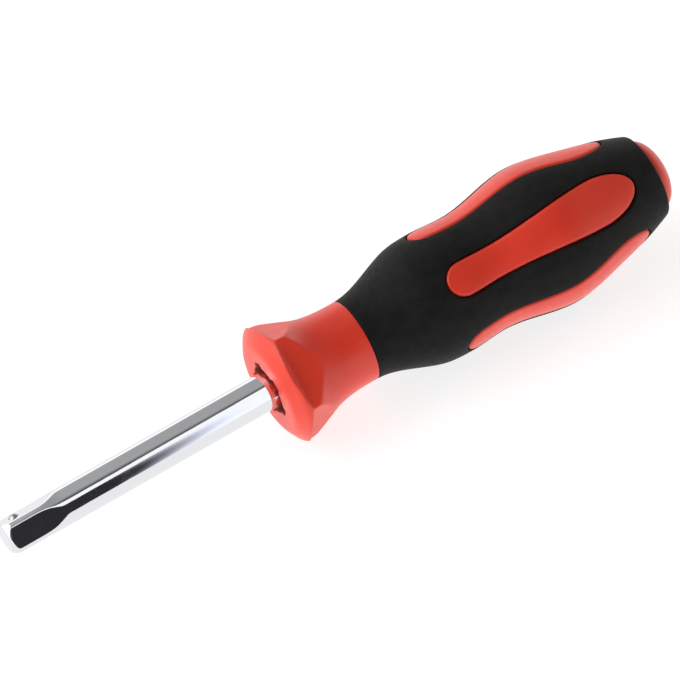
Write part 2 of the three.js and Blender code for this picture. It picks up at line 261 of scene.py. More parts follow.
def mesh_of(name, sheets):
    """A mesh from sheets of (points in rows and columns, whether the last column joins the first)."""
    points, faces, start = [], [], 0
    for sheet, closed in sheets:
        rows, columns = sheet.shape[:2]
        index = start + np.arange(rows * columns).reshape(rows, columns)
        if closed:
            index = np.hstack([index, index[:, :1]])
        quads = np.stack([index[:-1, :-1], index[:-1, 1:], index[1:, 1:], index[1:, :-1]], axis=-1)
        points.append(sheet.reshape(-1, 3))
        faces.append(quads.reshape(-1, 4))
        start += rows * columns
    mesh = bpy.data.meshes.new(name)
    mesh.from_pydata(np.concatenate(points).tolist(), [], np.concatenate(faces).tolist())
    return mesh


def settle(piece):
    """Welds a piece's sheets, turns its faces outwards, smooths it and says what it has."""
    skin = bmesh.new()
    skin.from_mesh(piece.data)
    bmesh.ops.remove_doubles(skin, verts=skin.verts, dist=WELD)
    bmesh.ops.dissolve_degenerate(skin, edges=skin.edges, dist=WELD)
    bmesh.ops.recalc_face_normals(skin, faces=skin.faces)
    open_edges = sum(not edge.is_manifold for edge in skin.edges)
    for face in skin.faces:
        face.smooth = True
    for edge in skin.edges:
        edge.smooth = edge.calc_face_angle(0) < SHARP
    skin.to_mesh(piece.data)
    skin.free()
    print(piece.name, "faces:", len(piece.data.polygons), "open edges:", open_edges)


def new_piece(name, mesh, material=None):
    """An object in the scene for a mesh, with its material if it has one by now."""
    piece = bpy.data.objects.new(name, mesh)
    bpy.context.scene.collection.objects.link(piece)
    if material:
        mesh.materials.append(material)
    return piece


print("points within", WELD, "m are welded, edges over", round(math.degrees(SHARP)), "degrees stay sharp")

# %% [markdown]
# ## Five times round
# The collar has five flats, and behind each of them the grip has a window with a red panel. So we model
# one fifth and let Geometry Nodes set it five times round the axis, weld the seams and give it its finish.
# An array modifier round an empty would do it as well, but the tree shows all its inputs in one place: the
# number of sides, the first angle, the welding distance and the material.

# %% A tree that repeats a fifth
SIDES = 5
FIRST_SIDE = math.radians(36)


def tree_of(name, inputs):
    """An empty geometry tree with a geometry output and the named inputs."""
    tree = bpy.data.node_groups.new(name, "GeometryNodeTree")
    for label, kind in inputs:
        tree.interface.new_socket(label, in_out="INPUT", socket_type=kind)
    tree.interface.new_socket("Geometry", in_out="OUTPUT", socket_type="NodeSocketGeometry")
    return tree, tree.nodes.new("NodeGroupInput"), tree.nodes.new("NodeGroupOutput")


def maths(tree, operation, a, b):
    """A sum, product or the like of two values, each a number or a socket."""
    node = tree.nodes.new("ShaderNodeMath")
    node.operation = operation
    for socket, value in zip(node.inputs, (a, b)):
        if isinstance(value, bpy.types.NodeSocket):
            tree.links.new(value, socket)
        else:
            socket.default_value = value
    return node.outputs[0]


def repeat_tree():
    """The tree that sets a fifth round the axis."""
    tree, given, result = tree_of("repeat_round_the_axis", [
        ("Geometry", "NodeSocketGeometry"), ("Sides", "NodeSocketInt"), ("First Angle", "NodeSocketFloat"),
        ("Weld", "NodeSocketFloat"), ("Material", "NodeSocketMaterial")])
    spots, number, turn, copies, real, weld, paint = (tree.nodes.new(kind) for kind in (
        "GeometryNodePoints", "GeometryNodeInputIndex", "ShaderNodeCombineXYZ",
        "GeometryNodeInstanceOnPoints", "GeometryNodeRealizeInstances", "GeometryNodeMergeByDistance",
        "GeometryNodeSetMaterial"))
    step = maths(tree, "DIVIDE", 2 * math.pi, given.outputs["Sides"])
    share = maths(tree, "MULTIPLY", number.outputs[0], step)
    angle = maths(tree, "ADD", share, given.outputs["First Angle"])
    join(
        tree, (angle, turn.inputs["X"]), (given.outputs["Sides"], spots.inputs["Count"]),
        (spots.outputs[0], copies.inputs["Points"]), (given.outputs["Geometry"], copies.inputs["Instance"]),
        (turn.outputs[0], copies.inputs["Rotation"]), (copies.outputs[0], real.inputs[0]),
        (real.outputs[0], weld.inputs["Geometry"]), (given.outputs["Weld"], weld.inputs["Distance"]),
        (weld.outputs[0], paint.inputs["Geometry"]), (given.outputs["Material"], paint.inputs["Material"]),
        (paint.outputs[0], result.inputs[0]))
    return tree


five_round = repeat_tree()
print("tree:", five_round.name, "has", len(five_round.nodes), "nodes")

# %% [markdown]
# ## From a tree to a plain mesh
# A modifier with a tree could stay on the piece, but a plain mesh is what gets exported and measured. So we
# run the tree once, take its result as the piece's own mesh, and drop the modifier.

# %% Grow a piece
def grow(piece, tree, values):
    """Runs a geometry tree on a piece with these inputs, and keeps its result as a plain mesh."""
    modifier = piece.modifiers.new("grow", "NODES")
    modifier.node_group = tree
    for item in tree.interface.items_tree:
        if item.in_out == "INPUT" and item.name in values:
            modifier[item.identifier] = values[item.name]
    graph = bpy.context.evaluated_depsgraph_get()
    mesh = bpy.data.meshes.new_from_object(piece.evaluated_get(graph), depsgraph=graph)
    piece.modifiers.remove(modifier)
    mesh.name = piece.name
    piece.data = mesh


def five_times(name, sheets, material):
    """A piece of the handle from the sheets of one fifth."""
    piece = new_piece(name, mesh_of(name, sheets))
    grow(piece, five_round, {
        "Sides": SIDES, "First Angle": FIRST_SIDE, "Weld": WELD, "Material": material})
    settle(piece)
    return piece


print("a fifth is set", SIDES, "times round, from", round(math.degrees(FIRST_SIDE)), "degrees on")

# %% [markdown]
# ## The grip's outline
# The handle's outline is a chain of stations: neck, shoulder, a swell for the thumb, a waist, the belly in
# the palm, the tail and the rim. A cubic between neighbours, with a set slope at each, gives one smooth
# line. The stations are counted from the grip's front edge, which the frame tells us.

# %% Outline of the handle
FIT_GAP = 0.3
sleeve_low, sleeve_high = (np.array(corner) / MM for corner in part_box("grip_sleeve"))
body_low, body_high = (np.array(corner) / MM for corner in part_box("handle_body"))
COLLAR_AT = body_low[0]
SLEEVE_AT = sleeve_low[0] - FIT_GAP
RIM_AT = sleeve_high[0]
BUTT_AT = body_high[0]

STATION_AT = SLEEVE_AT + np.array([0, 12.6, 19.6, 26.8, 42.4, 54.6, RIM_AT - SLEEVE_AT])
STATION_RADIUS = np.array([8.48, 12.15, 12.82, 12.4, 14.66, 12.4, 8.52])
STATION_SLOPE = np.array([0, 0.3, 0, 0, 0, -0.24, -0.42])
GRIP_WALL = np.array([1.6, 2, 2, 2, 2, 2, 1])
PANEL_RECESS = 0.1
OUTLINE_SAMPLES = 800


def skin_radius(along):
    """Radius of the grip's skin: a cubic between neighbouring stations."""
    k = np.clip(np.searchsorted(STATION_AT, along, side="right") - 1, 0, len(STATION_AT) - 2)
    run = STATION_AT[k + 1] - STATION_AT[k]
    t = (along - STATION_AT[k]) / run
    rise = (STATION_RADIUS[k + 1] - STATION_RADIUS[k]) * t * t * (3 - 2 * t)
    leave = t * (1 - t) ** 2 * run * STATION_SLOPE[k]
    arrive = t * t * (t - 1) * run * STATION_SLOPE[k + 1]
    return STATION_RADIUS[k] + rise + leave + arrive


def under_grip(along):
    """Radius of the grip's inner wall."""
    return skin_radius(along) - np.interp(along, STATION_AT, GRIP_WALL)


def seat_radius(along):
    """Radius of the red body where the grip sits on it."""
    return under_grip(along) - FIT_GAP


def panel_radius(along):
    """Radius of the top of a red panel."""
    return skin_radius(along) - PANEL_RECESS


belly = float(skin_radius(np.linspace(SLEEVE_AT, RIM_AT, OUTLINE_SAMPLES)).max())
print("grip from", round(SLEEVE_AT, 2), "to", round(RIM_AT, 2), "mm, belly radius", round(belly, 2))

# %% [markdown]
# ## A window in one fifth
# A fifth of the grip is a patch with a long window in it. To mesh it evenly we walk round the patch's
# border and round the window's edge with the same number of steps, and draw rows between them, as a spider
# does. The window's outline is two half ellipses, joined by sides that narrow at the waist.

# %% Outline of a panel and border of a fifth
PANEL_FRONT = 17.9
PANEL_FRONT_LENGTH = 3.7
PANEL_FRONT_HALF = 3.4
PANEL_WAIST = 28.5
PANEL_WAIST_HALF = 3.2
PANEL_REAR_MARGIN = 6
PANEL_REAR_LENGTH = 9.1
PANEL_REAR_HALF = 4.7
HALF_COLUMNS = 32
SIDE_ROWS = 60
FRONT_SHARE = 0.7
REAR_SHARE = 0.65
END_SAMPLES, SIDE_SAMPLES = 200, 600

HALF_FIFTH = math.pi / SIDES
columns = np.linspace(-HALF_FIFTH, HALF_FIFTH, 2 * HALF_COLUMNS + 1)
front_middle = SLEEVE_AT + PANEL_FRONT + PANEL_FRONT_LENGTH
waist_middle = SLEEVE_AT + PANEL_WAIST
rear_middle = RIM_AT - PANEL_REAR_MARGIN - PANEL_REAR_LENGTH


def mirrored(half):
    """A closed loop from its half on one side of the middle, as (along, aside) points."""
    return np.vstack([half, half[-2:0:-1] * [1, -1]])


def ease(value, low, high):
    """A smooth step from 0 at low to 1 at high."""
    share = np.clip((value - low) / (high - low), 0, 1)
    return share * share * (3 - 2 * share)


def panel_outline():
    """The panel's outline as (along, aside) points, with set numbers of steps at its ends and sides."""
    quarter = np.linspace(0, math.pi / 2, END_SAMPLES)
    sides = np.linspace(front_middle, rear_middle, SIDE_SAMPLES)[1:-1]
    to_waist = ease(sides, front_middle, waist_middle)
    to_rear = ease(sides, waist_middle, rear_middle)
    narrow = PANEL_FRONT_HALF + (PANEL_WAIST_HALF - PANEL_FRONT_HALF) * to_waist
    width = narrow + (PANEL_REAR_HALF - PANEL_WAIST_HALF) * to_rear
    along = np.hstack([
        front_middle - PANEL_FRONT_LENGTH * np.cos(quarter), sides,
        rear_middle + PANEL_REAR_LENGTH * np.sin(quarter)])
    aside = np.hstack([PANEL_FRONT_HALF * np.sin(quarter), width, PANEL_REAR_HALF * np.cos(quarter)])
    way = np.hstack([0, np.cumsum(np.hypot(np.diff(along), np.diff(aside)))])
    leave_front = way[END_SAMPLES - 1] * FRONT_SHARE
    reach_rear = way[-1] - (way[-1] - way[-END_SAMPLES]) * REAR_SHARE
    stops = np.hstack([
        np.linspace(0, leave_front, HALF_COLUMNS + 1),
        np.linspace(leave_front, reach_rear, SIDE_ROWS + 1)[1:],
        np.linspace(reach_rear, way[-1], HALF_COLUMNS + 1)[1:]])
    return mirrored(np.stack([np.interp(stops, way, along), np.interp(stops, way, aside)], axis=-1))


def fifth_border(front, rear):
    """The border of a fifth as (along, angle) points, in step with the panel's outline."""
    edge = np.linspace(0, HALF_FIFTH, HALF_COLUMNS + 1)
    side = np.linspace(front, rear, SIDE_ROWS + 1)[1:-1]
    along = np.hstack([np.full(edge.size, front), side, np.full(edge.size, rear)])
    angle = np.hstack([edge, np.full(side.size, HALF_FIFTH), edge[::-1]])
    return mirrored(np.stack([along, angle], axis=-1))


outline = panel_outline()
step = np.roll(outline, -1, axis=0) - np.roll(outline, 1, axis=0)
outward = np.stack([-step[:, 1], step[:, 0]], axis=-1) / np.linalg.norm(step, axis=1)[:, None]


def on_surface(loop, radius_of, depth=0.0):
    """A loop of (along, aside) points laid on a turned surface, or below it."""
    radius = radius_of(loop[:, 0]) - depth
    return round_axis(loop[:, 0], np.arcsin(loop[:, 1] / radius), radius)


def rows_to_border(loop, border, radius_of, steps):
    """Rows on a turned surface from a loop out to the border of the fifth."""
    angle = np.arcsin(loop[:, 1] / radius_of(loop[:, 0]))
    share = np.linspace(0, 1, steps + 1)[:, None]
    along = loop[:, 0] + (border[:, 0] - loop[:, 0]) * share
    return round_axis(along, angle + (border[:, 1] - angle) * share, radius_of(along))


print("panel outline has", len(outline), "points")

# %% [markdown]
# ## Rounded edges
# Nothing on a moulded handle is quite sharp. A turned outline is a line of corners, and each corner becomes a
# short curve. Where two surfaces cross, a soft minimum takes the lesser one and rounds the edge between them.
# A bevel could do this too, but here each rounding keeps its own size and the faces stay even.

# %% Helpers for rounded edges
CORNER_STEPS = 8


def soft_min(a, b, reach):
    """The lesser of two surfaces, with their edge rounded over a reach."""
    share = np.clip(0.5 + 0.5 * (b - a) / reach, 0, 1)
    return b + (a - b) * share - reach * share * (1 - share)


def straight(start, end, spacing):
    """Evenly spaced points after start, up to and with end."""
    steps = max(1, math.ceil(np.linalg.norm(end - start) / spacing))
    return [start + (end - start) * k / steps for k in range(1, steps + 1)]


def profile(corners, spacing):
    """Points along a line of (along, radius, rounding) corners, with each corner rounded."""
    points = [np.array(corners[0][:2], float)]
    for before, corner, after in zip(corners, corners[1:], corners[2:]):
        middle = np.array(corner[:2], float)
        back = np.array(before[:2]) - middle
        on = np.array(after[:2]) - middle
        start = middle + back / np.linalg.norm(back) * corner[2]
        end = middle + on / np.linalg.norm(on) * corner[2]
        points += straight(points[-1], start, spacing)
        for t in np.linspace(0, 1, CORNER_STEPS + 1)[1:]:
            points.append(start * (1 - t) ** 2 + middle * 2 * t * (1 - t) + end * t * t)
    points += straight(points[-1], np.array(corners[-1][:2], float), spacing)
    return np.array(points).T


print("each corner is rounded in", CORNER_STEPS, "steps")

# %% [markdown]
# ## The red body
# One fifth of the red body has four parts: the bore and hollow inside, the collar with its flat and the
# flared neck, the seat under the grip with the raised panel, and the dome at the butt. The collar is turned
# like a bead, and each flat is sunk behind the bead's front lip, with a leaning shoulder. The lesser of the
# two radii, softened at their edge, gives the lens in which each flat ends, as on the real collar. Round the
# shank the front face is sunk in a ring with five notches.

# %% Collar and neck
FACE_RADIUS = 9.3
LIP = (2.0, 12.5)
CREST = (3.6, 12.9)
FACE_ROUNDING = 1.1
LIP_ROUNDING = 1.0
LIP_APOTHEM = 12.1
FLAT_RUN = 3.1
FLAT_APOTHEM = 10.45
SHOULDER_LEAN = math.tan(math.radians(31))
FLAT_DRAFT = math.tan(math.radians(5.3))
FLAT_FILLET = 0.3
RIDGE_ROUNDING = 0.2
EDGE_ROUNDING = 0.26
FLARE_LEAVE = (3.6, -0.2)
FLARE_ARRIVE = (-13.6, -0.28)
NECK_EDGE = 0.2
BORE = 4.05
RECESS_REACH = 1.0
NOTCH_REACH = 0.9
NOTCH_SIDES = (math.radians(9), math.radians(19))
NOTCH_DEPTH = 1.5
NOTCH_WALL = 0.3
FLARE_ROWS = 60
FRONT_SPACING, EDGE_SPACING = 0.1, 0.5
FACE_ONLY, FLATS_FROM = 0.05, 0.5

neck_radius = STATION_RADIUS[0]
lip_at = COLLAR_AT + LIP[0]
flare_at = COLLAR_AT + CREST[0]


def flat_apothem(along):
    """Distance of a flat from the axis: a little off the lip, the shoulder, and a fall to the rear."""
    past = along - COLLAR_AT - FLAT_RUN
    sunk = -soft_min(past / SHOULDER_LEAN, past * FLAT_DRAFT, FLAT_FILLET) + FLAT_APOTHEM
    return soft_min(sunk, LIP_APOTHEM, EDGE_ROUNDING)


def flare():
    """The curve from the collar's crest down to the neck."""
    t = np.linspace(0, 1, FLARE_ROWS + 1)[1:, None]
    start = np.array([flare_at, CREST[1]])
    end = np.array([SLEEVE_AT, neck_radius])
    leave = start + FLARE_LEAVE
    arrive = end + FLARE_ARRIVE
    first_half = start * (1 - t) ** 3 + leave * 3 * t * (1 - t) ** 2
    return (first_half + arrive * 3 * t * t * (1 - t) + end * t ** 3).T


def five_sided(apothem):
    """Radius by angle of five sides at a distance from the axis, with their ridges rounded."""
    here = apothem / np.cos(columns)
    neighbour = apothem / np.cos(2 * HALF_FIFTH - np.abs(columns))
    return soft_min(here, neighbour, RIDGE_ROUNDING)


def notch(radius, angle):
    """How deep the collar's face is sunk round the shank."""
    edge = BORE + RECESS_REACH + NOTCH_REACH * (1 - ease(np.abs(angle), *NOTCH_SIDES))
    return NOTCH_DEPTH * (1 - ease(radius, edge - NOTCH_WALL, edge))


def collar_sheets():
    """Rows from the bore over the face, the lip and the flare to the grip's front edge."""
    front = profile([
        (COLLAR_AT, BORE, 0), (COLLAR_AT, FACE_RADIUS, FACE_ROUNDING), (lip_at, LIP[1], LIP_ROUNDING),
        (flare_at, CREST[1], 0)], FRONT_SPACING)
    curve = flare()
    curve = curve[:, curve[0] < SLEEVE_AT - NECK_EDGE]
    edge = profile([
        (curve[0, -1], curve[1, -1], 0), (SLEEVE_AT, neck_radius, NECK_EDGE),
        (SLEEVE_AT, seat_radius(SLEEVE_AT), 0)], EDGE_SPACING)
    along, radius = np.hstack([front, curve, edge[:, 1:]])[:, :, None]
    cut = soft_min(radius, five_sided(flat_apothem(along)), EDGE_ROUNDING)
    radius = np.where(along > COLLAR_AT + FLATS_FROM, cut, radius)
    sunk = np.where(along < COLLAR_AT + FACE_ONLY, notch(radius, columns), 0)
    return round_axis(along + sunk, columns, radius)


collar = collar_sheets()
print("collar and neck:", collar.shape[0], "rows")

# %% [markdown]
# ## Seat, panel and dome
# Under the grip the red body steps down by the grip's wall. The panel stands on that seat, its top just
# below the grip's skin, with a small rounding that catches the light. Rows run from the border to the foot
# of the panel, up its side, over the rounding and in to its middle line. The dome is half of a flat egg.

# %% Seat, panel, dome and hollow
PANEL_ROUNDING = 0.45
ARC_STEPS = 5
PATCH_ROWS = 10
BODY_WALL = 2.2
HOLLOW_FRONT = 12.6
HOLLOW_REAR = 54.6
DOME_ROWS, HOLLOW_ROWS, BORE_ROWS = 28, 12, 8


def rounding(radius):
    """Steps over a rounded edge as (how far in from the edge, how far down from the top)."""
    turns = np.linspace(0, math.pi / 2, ARC_STEPS + 1)
    return [(radius * (1 - math.cos(turn)), radius * (1 - math.sin(turn))) for turn in turns]


def panel_sheets():
    """The seat under the grip, the panel's side with its rounding, and its top."""
    seat = rows_to_border(outline, fifth_border(SLEEVE_AT, RIM_AT), seat_radius, PATCH_ROWS)
    side = [on_surface(outline, seat_radius)]
    for inward, down in rounding(PANEL_ROUNDING):
        side.append(on_surface(outline - outward * inward, panel_radius, down))
    rim = outline - outward * PANEL_ROUNDING
    share = np.linspace(0, 1, PATCH_ROWS + 1)[:, None]
    spine = np.clip(rim[:, 0], front_middle, rear_middle)
    along = rim[:, 0] + (spine - rim[:, 0]) * share
    angle = np.arcsin(rim[:, 1] / panel_radius(rim[:, 0])) * (1 - share)
    top = round_axis(along, angle, panel_radius(along))
    return [(seat, True), (np.array(side), True), (top, True)]


def dome_sheet():
    turns = np.linspace(0, math.pi / 2, DOME_ROWS + 1)[:, None]
    along = RIM_AT + (BUTT_AT - RIM_AT) * np.sin(turns)
    return round_axis(along, columns, seat_radius(RIM_AT) * np.cos(turns))


def hollow_sheet():
    inner = np.linspace(SLEEVE_AT + HOLLOW_REAR, SLEEVE_AT + HOLLOW_FRONT, HOLLOW_ROWS + 1)
    along = np.hstack([inner[0], inner, inner[-1]])[:, None]
    radius = np.hstack([0, seat_radius(inner) - BODY_WALL, BORE])[:, None]
    return round_axis(along, columns, radius)


def bore_sheet():
    mouth = COLLAR_AT + notch(np.full(columns.size, BORE), columns)
    share = np.linspace(0, 1, BORE_ROWS + 1)[:, None]
    return round_axis(mouth + (SLEEVE_AT + HOLLOW_FRONT - mouth) * share, columns, BORE)


handle = five_times("red_handle", [
    (hollow_sheet(), False), (bore_sheet(), False), (collar, False), *panel_sheets(),
    (dome_sheet(), False)], red)
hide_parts("handle_body")
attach(handle, "handle")

# %% [markdown]
# ## Shade in the recess
# Light hardly reaches the recess round the shank, so its shade is painted into the colour. A point on the
# axis, some way behind the collar's face, is nearer to the recess than to anything else that shows. So the
# distance from that point can mix a painted dark brown shade into the red.

# %% Recess shade
# The dark brown is painted shade for the recess, where little light gets in.
RECESS_PAINTED_SHADE = (0.17, 0.018, 0.013)
PAINTED_SHADE_BEHIND = 6.0
PAINTED_SHADE_REACH = (7.2, 8.1)


def fade(tree, value, start, end):
    """A smooth change from one (value, result) pair to another."""
    node = tree.nodes.new("ShaderNodeMapRange")
    node.interpolation_type = "SMOOTHSTEP"
    node.inputs["From Min"].default_value, node.inputs["To Min"].default_value = start
    node.inputs["From Max"].default_value, node.inputs["To Max"].default_value = end
    tree.links.new(value, node.inputs["Value"])
    return node.outputs["Result"]


def distance_from(tree, point):
    """How far a place on the piece is from a point, in metres."""
    place = tree.nodes.new("ShaderNodeTexCoord")
    node = tree.nodes.new("ShaderNodeVectorMath")
    node.operation = "DISTANCE"
    node.inputs[1].default_value = point
    tree.links.new(place.outputs["Object"], node.inputs[0])
    return node.outputs["Value"]


def paint_shade_in_recess(material):
    """Mixes a painted dark brown shade into a material's colour near the recess."""
    tree = material.node_tree
    colour = tree.nodes["Principled BSDF"].inputs["Base Color"]
    way = distance_from(tree, ((COLLAR_AT + PAINTED_SHADE_BEHIND) * MM, 0, 0))
    unshaded = fade(tree, way, (PAINTED_SHADE_REACH[0] * MM, 0), (PAINTED_SHADE_REACH[1] * MM, 1))
    tree.links.new(tint(tree, unshaded, RECESS_PAINTED_SHADE, colour.links[0].from_socket), colour)


# Paint the recess's shade into the red.
paint_shade_in_recess(red)
print("painted_shade behind the collar's face at", round(COLLAR_AT, 2), "mm")

# %% [markdown]
# ## The black grip
# The grip is a sleeve with five windows. Its fifth is built like the red one, from the inside out: inner
# wall, the window's side, a soft rounded edge and the skin, and a rounded lip at each end. The windows are
# a fit gap wider than the panels, so a fine dark line runs round each panel. In front the grip almost
# touches the neck, because on the real tool the two plastics are bonded there.

# %% Grip sleeve
WINDOW_ROUNDING = 0.55
SEAM = 0.06
FRONT_LIP = 0.3
REAR_LIP = 0.7
INNER_LIP = 0.25
LIP_SPACING = 0.3


def lip_sheet(front, rounding_out, edge):
    """The end of the sleeve from its skin round to its inner wall."""
    out = edge + (rounding_out if front else -rounding_out)
    along, radius = profile([
        (out, skin_radius(out), 0), (edge, skin_radius(edge), rounding_out),
        (edge, under_grip(edge), INNER_LIP), (out, under_grip(out), 0)], LIP_SPACING)
    return round_axis(along[:, None], columns, radius[:, None])


def grip_sheets():
    """The skin, the window's side, the inner wall and both ends of a fifth of the sleeve."""
    front = SLEEVE_AT + SEAM
    border = fifth_border(front + FRONT_LIP, RIM_AT - REAR_LIP)
    window = outline + outward * FIT_GAP
    skin_edge = window + outward * WINDOW_ROUNDING
    skin = rows_to_border(skin_edge, border, skin_radius, 2 * PATCH_ROWS)
    side = []
    for inward, down in rounding(WINDOW_ROUNDING):
        side.append(on_surface(window + outward * inward, skin_radius, down))
    side.insert(0, on_surface(window, under_grip))
    inner = rows_to_border(window, border, under_grip, PATCH_ROWS)
    return [
        (skin, True), (np.array(side), True), (inner, True),
        (lip_sheet(True, FRONT_LIP, front), False), (lip_sheet(False, REAR_LIP, RIM_AT), False)]


grip = five_times("black_grip", grip_sheets(), rubber)
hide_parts("grip_sleeve")
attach(grip, "handle")

# %% [markdown]
# ## The shank
# The bar is round, and its tip is milled to a square whose faces run out into the round in a curve. Again
# a turned shape meets planes, so the soft minimum does the work, now with four faces. Inside the handle the
# bar is pressed out into two wings that stop it from turning. A hole for the ball goes into one face.

# %% Bar with its square and wings
SQUARE = 6.35
SQUARE_TURN = math.radians(54)
SQUARE_LENGTH = 7.7
SQUARE_CORNER = 3.95
SQUARE_EDGE = 0.3
RUNOUT = 4.2
RUNOUT_LIMIT = 3
RUNOUT_ROUNDING = 1.5
TIP_CHAMFER = 1.1
TIP_ROUNDING, CHAMFER_ROUNDING = 0.35, 0.45
SHANK = 3.75
TANG_CHAMFER = 1.0
TANG_ROUNDING = 0.2
WING_HALF = 5.7
WING_TAPER = 2.0
WING_LENGTH = 10.0
WING_SETBACK = 8.0
WING_THICKNESS = 3.4
BAR_COLUMNS = 192
TIP_SPACING, TANG_SPACING = 0.13, 0.7
LEAST = 0.01

TANG_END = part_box("drive_shank")[1][0] / MM
BALL_TURN = SQUARE_TURN - math.pi / 2
bar_angles = BALL_TURN + np.arange(BAR_COLUMNS) * 2 * math.pi / BAR_COLUMNS


def square_radius(along):
    """Radius of the square's sides by angle, growing past the square's end as the cutter runs out."""
    quarter = math.pi / 2
    from_face = np.abs((bar_angles - SQUARE_TURN + quarter / 2) % quarter - quarter / 2)
    past = np.clip((along - SQUARE_LENGTH) / RUNOUT, 0, RUNOUT_LIMIT)
    return (SQUARE / 2 + (SHANK - SQUARE / 2) * past ** 2) / np.cos(from_face)


def wing_radius(along):
    """Radius of the pressed wings by angle, or nothing where there are none."""
    rear = TANG_END - WING_SETBACK
    ends = [rear - WING_LENGTH, rear - WING_LENGTH + WING_TAPER, rear - WING_TAPER, rear]
    half = np.interp(along, ends, [WING_HALF - WING_TAPER, WING_HALF, WING_HALF, WING_HALF - WING_TAPER])
    wide = half / np.maximum(np.abs(np.sin(bar_angles)), LEAST)
    thick = WING_THICKNESS / 2 / np.maximum(np.abs(np.cos(bar_angles)), LEAST)
    return soft_min(wide, thick, SQUARE_EDGE)


def bar_rows():
    """Rows of points from the tip to the tang's end, with each row's place along the bar."""
    tip = profile([
        (0, 0, 0), (0, SQUARE_CORNER - TIP_CHAMFER, TIP_ROUNDING),
        (TIP_CHAMFER, SQUARE_CORNER, CHAMFER_ROUNDING), (SQUARE_LENGTH, SQUARE_CORNER, RUNOUT_ROUNDING),
        (SQUARE_LENGTH + RUNOUT, SHANK, RUNOUT_ROUNDING),
        (SQUARE_LENGTH + 2 * RUNOUT, SHANK, 0)], TIP_SPACING)
    tang = profile([
        (SQUARE_LENGTH + 2 * RUNOUT, SHANK, 0), (TANG_END - TANG_CHAMFER, SHANK, TANG_ROUNDING),
        (TANG_END, SHANK - TANG_CHAMFER, TANG_ROUNDING), (TANG_END, 0, 0)], TANG_SPACING)
    along, radius = np.hstack([tip, tang[:, 1:]])[:, :, None]
    shaped = soft_min(radius, square_radius(along), SQUARE_EDGE)
    winged = -soft_min(-shaped, -wing_radius(along), SQUARE_EDGE)
    on_tang = (along > COLLAR_AT) & (along < TANG_END - TANG_CHAMFER)
    return along[:, 0], round_axis(along, bar_angles, np.where(on_tang, winged, shaped))


bar_along, bar = bar_rows()
print("bar:", bar.shape[0], "rows of", BAR_COLUMNS, "points")

# %% [markdown]
# ## The hole for the ball
# The hole needs a round edge in a sheet of square cells. We leave a block of cells out, and fill it with
# rows that run from the block's border to the hole's round mouth. From there the wall goes under a staked
# lip, which keeps the ball in, and down to the hole's floor.

# %% Ball hole
BALL = 1.25
BALL_PROUD = 0.55
BALL_SETBACK = 3.35
BALL_CLEARANCE = 0.08
HOLE_DEPTH = 5.2
LIP_DEPTH = 0.3
LIP_EASE = 0.12
BLOCK_HALF = 1.95
BLOCK_COLUMNS = 15
BLOCK_ROWS = 8

ball_out = np.array([0, -math.sin(BALL_TURN), math.cos(BALL_TURN)])
ball_aside = np.array([0, -math.cos(BALL_TURN), -math.sin(BALL_TURN)])
face_height = SQUARE / 2
hole_floor = face_height - HOLE_DEPTH
ball_height = face_height + BALL_PROUD - BALL
hole_radius = BALL + BALL_CLEARANCE
mouth_radius = math.sqrt(BALL ** 2 - (face_height - ball_height) ** 2) + BALL_CLEARANCE


def hole_sheets():
    """The bar with a block of cells left out, the patch in that block, and the hole's wall and floor."""
    off_chamfer = np.where(bar_along < TIP_CHAMFER, np.inf, bar_along)
    first = int(np.argmin(np.abs(off_chamfer - BALL_SETBACK + BLOCK_HALF)))
    last = int(np.argmin(np.abs(bar_along - BALL_SETBACK - BLOCK_HALF)))
    block = np.roll(bar, BLOCK_COLUMNS, axis=1)[first:last + 1, :2 * BLOCK_COLUMNS + 1]
    border = np.vstack([block[0], block[1:, -1], block[-1, -2::-1], block[-2:0:-1, 0]])
    turn = np.arctan2(border @ ball_aside, border[:, 0] - BALL_SETBACK * MM)[:, None]
    ring = np.cos(turn) * np.array([1, 0, 0]) + np.sin(turn) * ball_aside

    def circle(radius, height):
        return (np.array([BALL_SETBACK, 0, 0]) + ring * radius + ball_out * height) * MM

    share = np.linspace(0, 1, BLOCK_ROWS + 1)[:, None, None]
    patch = border + (circle(mouth_radius + LIP_EASE, face_height) - border) * share
    wall = [
        circle(mouth_radius + LIP_EASE, face_height),
        circle(mouth_radius + LIP_EASE / 3, face_height - LIP_EASE / 3),
        circle(mouth_radius, face_height - LIP_EASE), circle(hole_radius, face_height - LIP_DEPTH),
        circle(hole_radius, hole_floor), circle(0, hole_floor)]
    rest = np.roll(bar, -BLOCK_COLUMNS, axis=1)[first:last + 1, :BAR_COLUMNS - 2 * BLOCK_COLUMNS + 1]
    return [
        (bar[:first + 1], True), (rest, False), (bar[last:], True), (patch, True), (np.array(wall), True)]


shank = new_piece("shank_bar", mesh_of("shank_bar", hole_sheets()), chrome)
settle(shank)
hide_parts("drive_shank")
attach(shank, "handle")

# %% [markdown]
# ## The ball
# A small hardened ball stands half a millimetre proud of the square and holds the socket on. It is a true
# ball, so we take a finely divided one instead of the solid's facets. It rides on its own body, because it
# sinks into the square when a socket is pushed on.

# %% Detent ball
BALL_DIVISIONS = 5


def detent_ball():
    mesh = bpy.data.meshes.new("steel_ball")
    skin = bmesh.new()
    bmesh.ops.create_icosphere(skin, subdivisions=BALL_DIVISIONS, radius=BALL * MM)
    middle = Vector(ball_out) * ball_height * MM + Vector((BALL_SETBACK * MM, 0, 0))
    bmesh.ops.translate(skin, verts=skin.verts, vec=middle)
    skin.to_mesh(mesh)
    skin.free()
    return new_piece("steel_ball", mesh, ball_steel)


ball = detent_ball()
settle(ball)
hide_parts("detent_ball")
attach(ball, "ball")

# %% [markdown]
# ## The spring under the ball
# The spring hides in the hole. Geometry Nodes wind it: a spiral curve with a round section, moved and turned
# into the hole. It rides on the handle.

# %% Detent spring
WIRE = 0.15
SPRING_TURNS = 3.5
SPRING_SIDE_GAP = 0.15
SPRING_END_GAP = 0.1
TURN_STEPS, WIRE_STEPS = 40, 14


